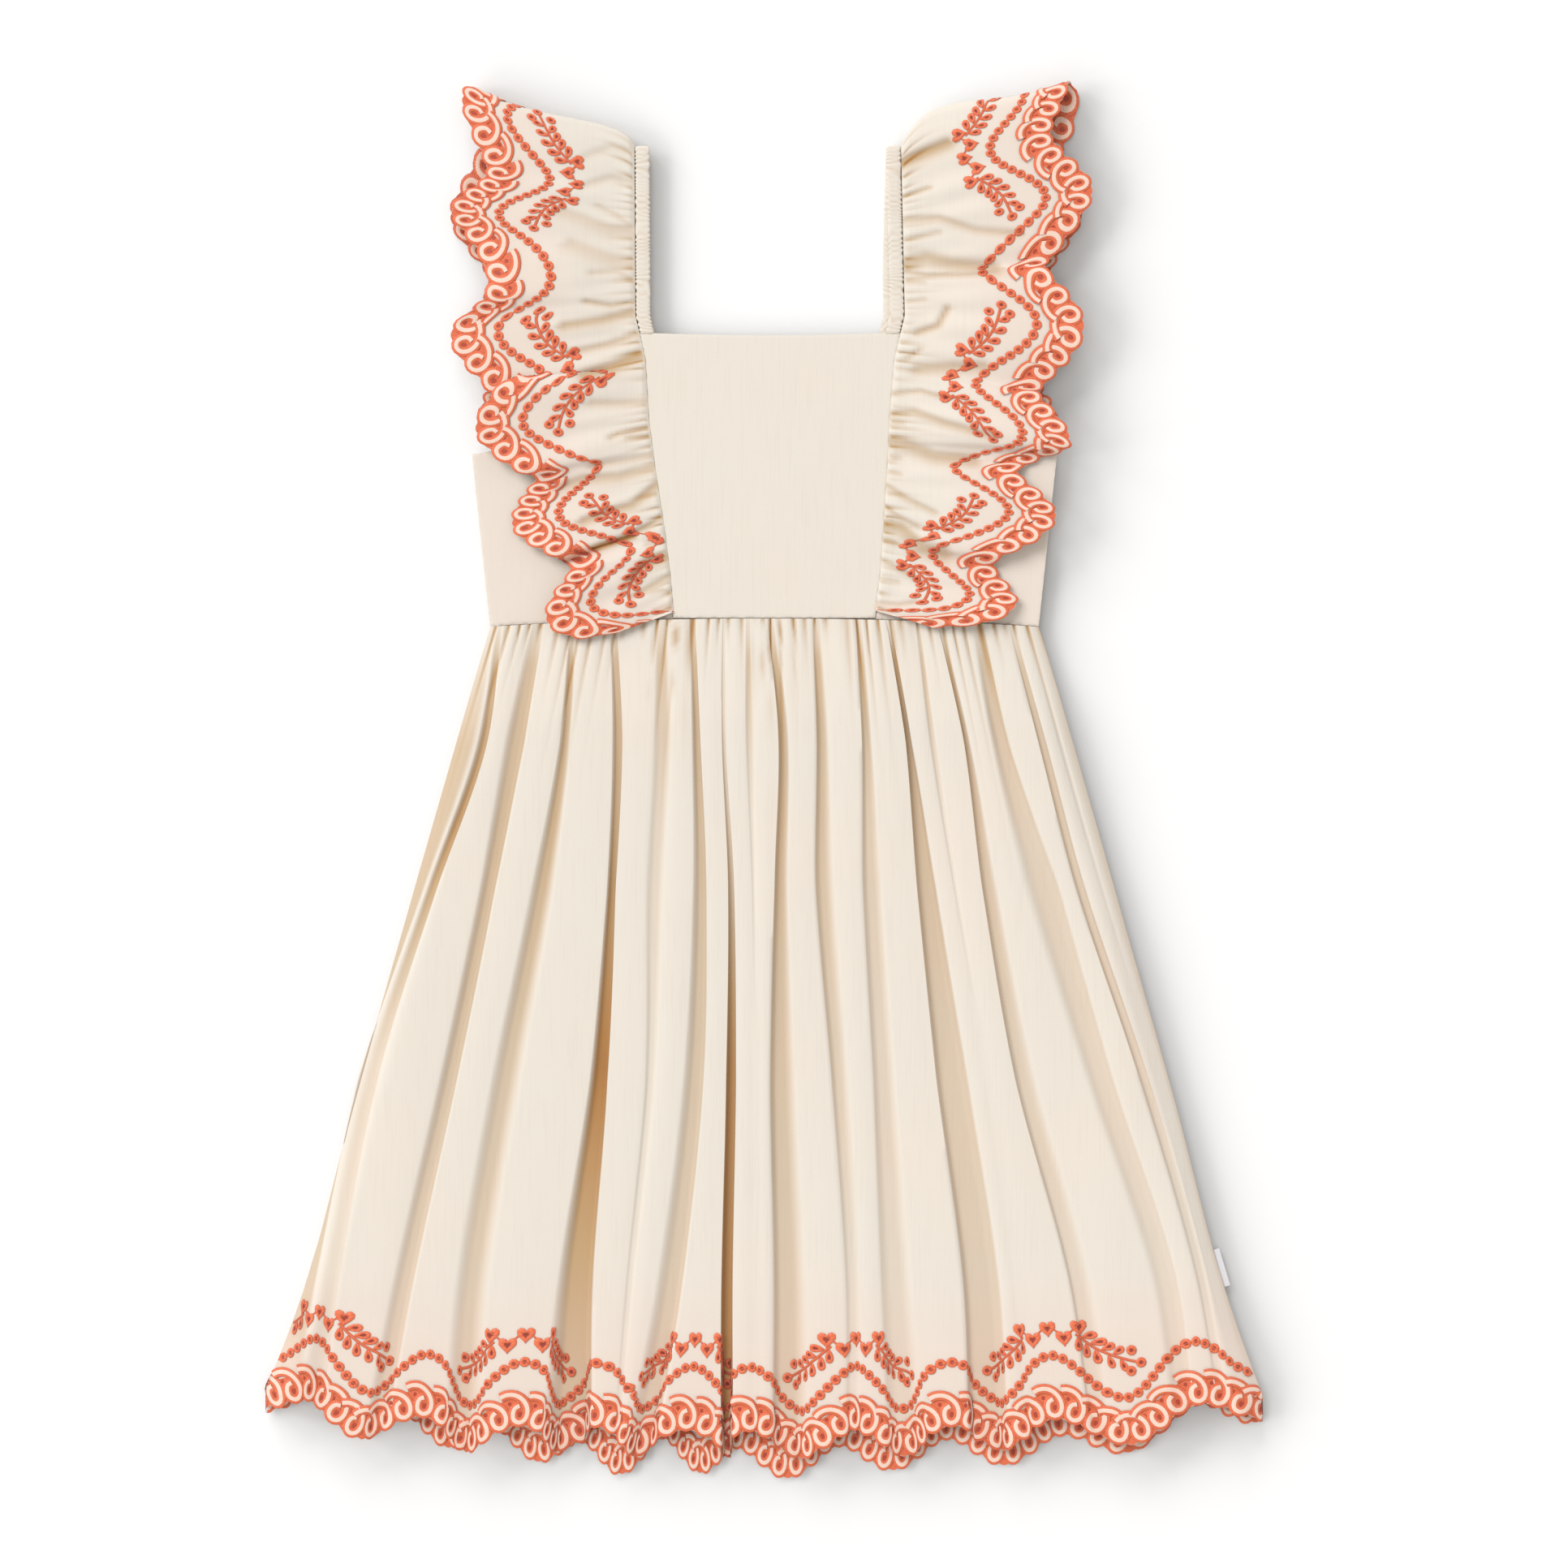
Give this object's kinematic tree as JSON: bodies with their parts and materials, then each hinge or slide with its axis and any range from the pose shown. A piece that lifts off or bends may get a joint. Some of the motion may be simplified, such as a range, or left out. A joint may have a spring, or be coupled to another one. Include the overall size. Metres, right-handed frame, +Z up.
{
  "type": "ruffle dress",
  "caption": "Child's sleeveless cotton dress laid flat: square bib, wide shoulder ruffles, gathered skirt, scalloped embroidered edges.",
  "frame": {"origin": "on the surface that the dress lies on, under the middle of its outline", "axes": "+X across the dress to the right of the picture, +Y from hem to shoulders, +Z up from the surface"},
  "size_m": [0.49, 0.6879, 0.0125],
  "materials": {
    "cream_cotton": "matt woven cotton",
    "embroidered_cotton": "matt woven cotton with satin stitch",
    "white_label": "smooth woven ribbon"
  },
  "bodies": {
    "root": {"bodice_front": "cream_cotton", "bodice_side_left": "cream_cotton", "bodice_side_right": "cream_cotton", "bodice_back": "cream_cotton", "strap_left": "cream_cotton", "strap_right": "cream_cotton", "ruffle_left": "embroidered_cotton", "ruffle_right": "embroidered_cotton", "skirt_front": "embroidered_cotton", "skirt_back": "embroidered_cotton", "side_label": "white_label"}
  },
  "joints": []
}
